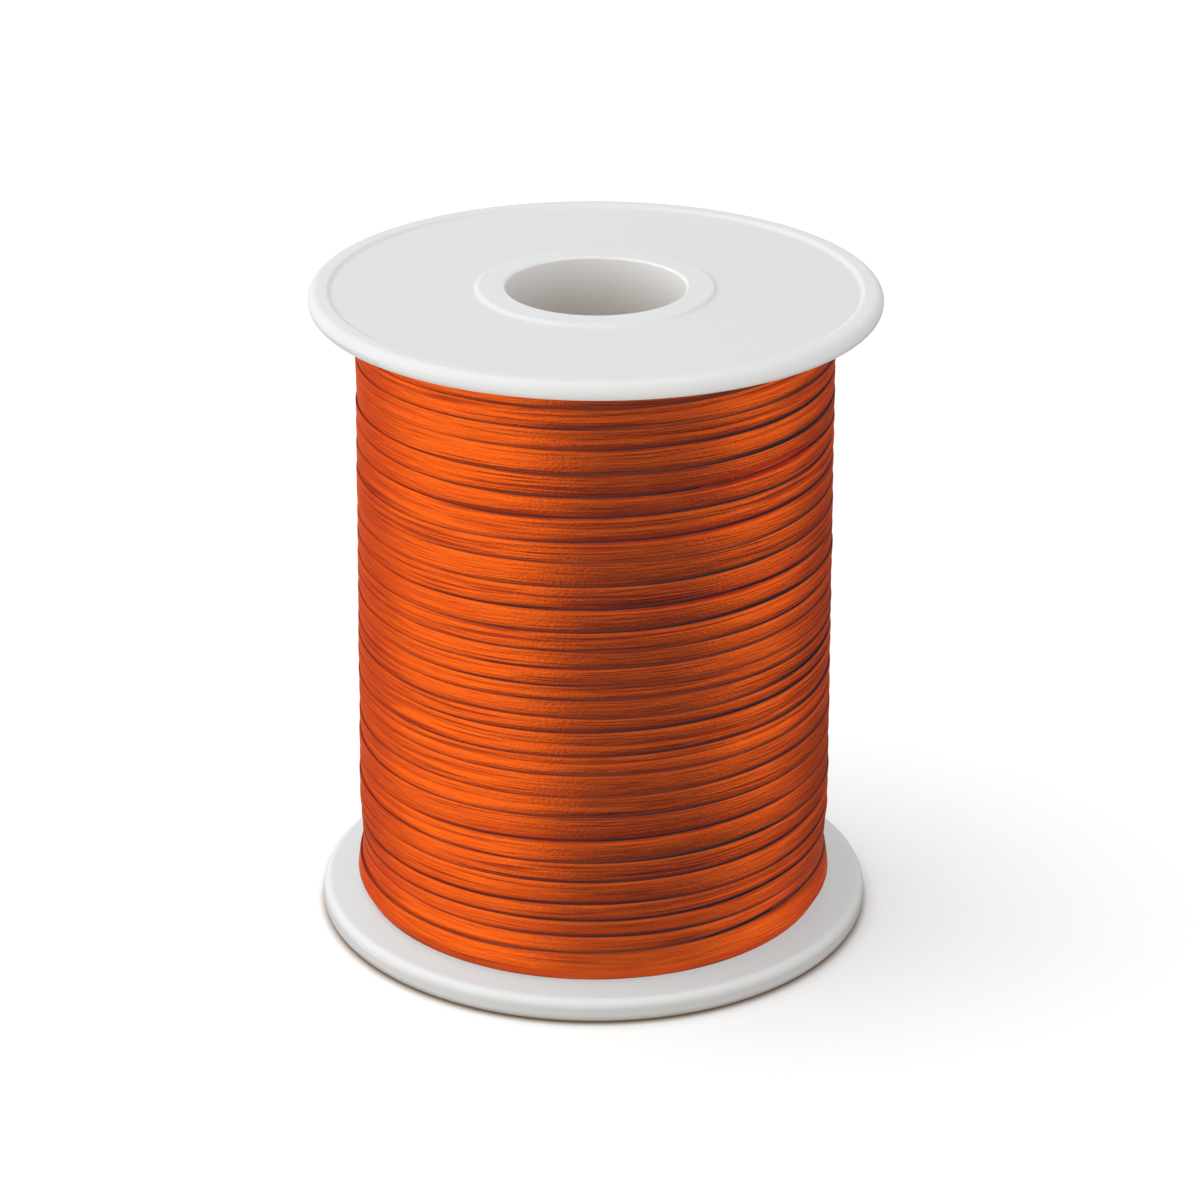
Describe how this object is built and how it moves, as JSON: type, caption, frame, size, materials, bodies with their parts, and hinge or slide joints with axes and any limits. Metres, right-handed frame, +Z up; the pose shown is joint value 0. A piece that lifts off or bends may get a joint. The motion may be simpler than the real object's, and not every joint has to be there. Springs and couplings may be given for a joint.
{
  "type": "ribbon spool",
  "caption": "Flanged cylindrical spool with a round through bore, wound full with narrow overlapping turns of curling ribbon.",
  "frame": {"origin": "centre of the flat face that the spool stands on", "axes": "+Z up along the bore's axis, from the bottom flange to the top flange; the ribbon's outer end is taped down on the +Y side"},
  "size_m": [0.095, 0.095, 0.1125],
  "materials": {
    "flange_plastic": "satin moulded white",
    "core_card": "spiral wound grey-brown board",
    "ribbon": "satin orange polypropylene with fine lengthwise ribs",
    "tape": "clear adhesive film"
  },
  "bodies": {
    "root": {"bottom_flange": "flange_plastic", "top_flange": "flange_plastic", "core_tube": "core_card", "ribbon_winding": "ribbon", "start_tape": "tape", "end_tape": "tape"}
  },
  "joints": []
}
